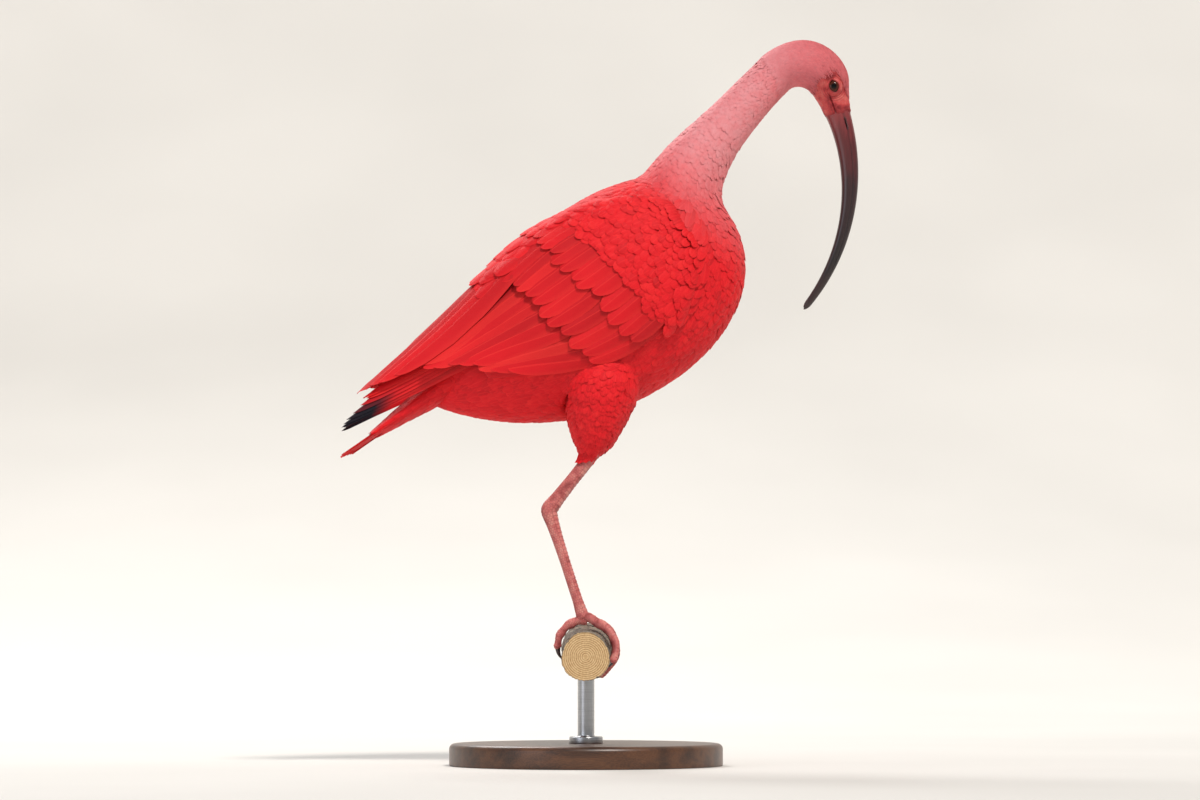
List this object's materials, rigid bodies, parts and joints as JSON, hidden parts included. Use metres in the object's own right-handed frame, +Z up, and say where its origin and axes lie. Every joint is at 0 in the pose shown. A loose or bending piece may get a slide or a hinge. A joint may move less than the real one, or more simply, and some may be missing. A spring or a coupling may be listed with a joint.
{
  "type": "scarlet ibis",
  "caption": "Life-size still scarlet ibis resting on a short cut branch, bill lowered in front of the breast, on a plain display stand.",
  "frame": {"origin": "centre of the underside of the stand's base", "axes": "+X the way the bird faces, +Y to the bird's left, +Z up"},
  "size_m": [0.3719, 0.214, 0.5205],
  "materials": {
    "plumage": "satin",
    "neck_plumage": "matte",
    "bill_horn": "satin",
    "bare_skin": "satin",
    "eye": "gloss",
    "bark": "matte",
    "rod_steel": "satin",
    "base_wood": "satin"
  },
  "bodies": {
    "root": {"torso": "plumage", "neck_lower": "neck_plumage", "neck_upper": "neck_plumage", "head": "neck_plumage", "bill_upper": "bill_horn", "bill_lower": "bill_horn", "eye_left": "eye", "eye_right": "eye", "wing_left": "plumage", "wing_right": "plumage", "tail": "plumage", "thigh_left": "plumage", "thigh_right": "plumage", "tibia_left": "bare_skin", "tibia_right": "bare_skin", "tarsus_left": "bare_skin", "tarsus_right": "bare_skin", "foot_left": "bare_skin", "foot_right": "bare_skin", "hallux_left": "bare_skin", "hallux_right": "bare_skin", "perch": "bark", "stand_rod": "rod_steel", "stand_base": "base_wood"}
  },
  "joints": []
}
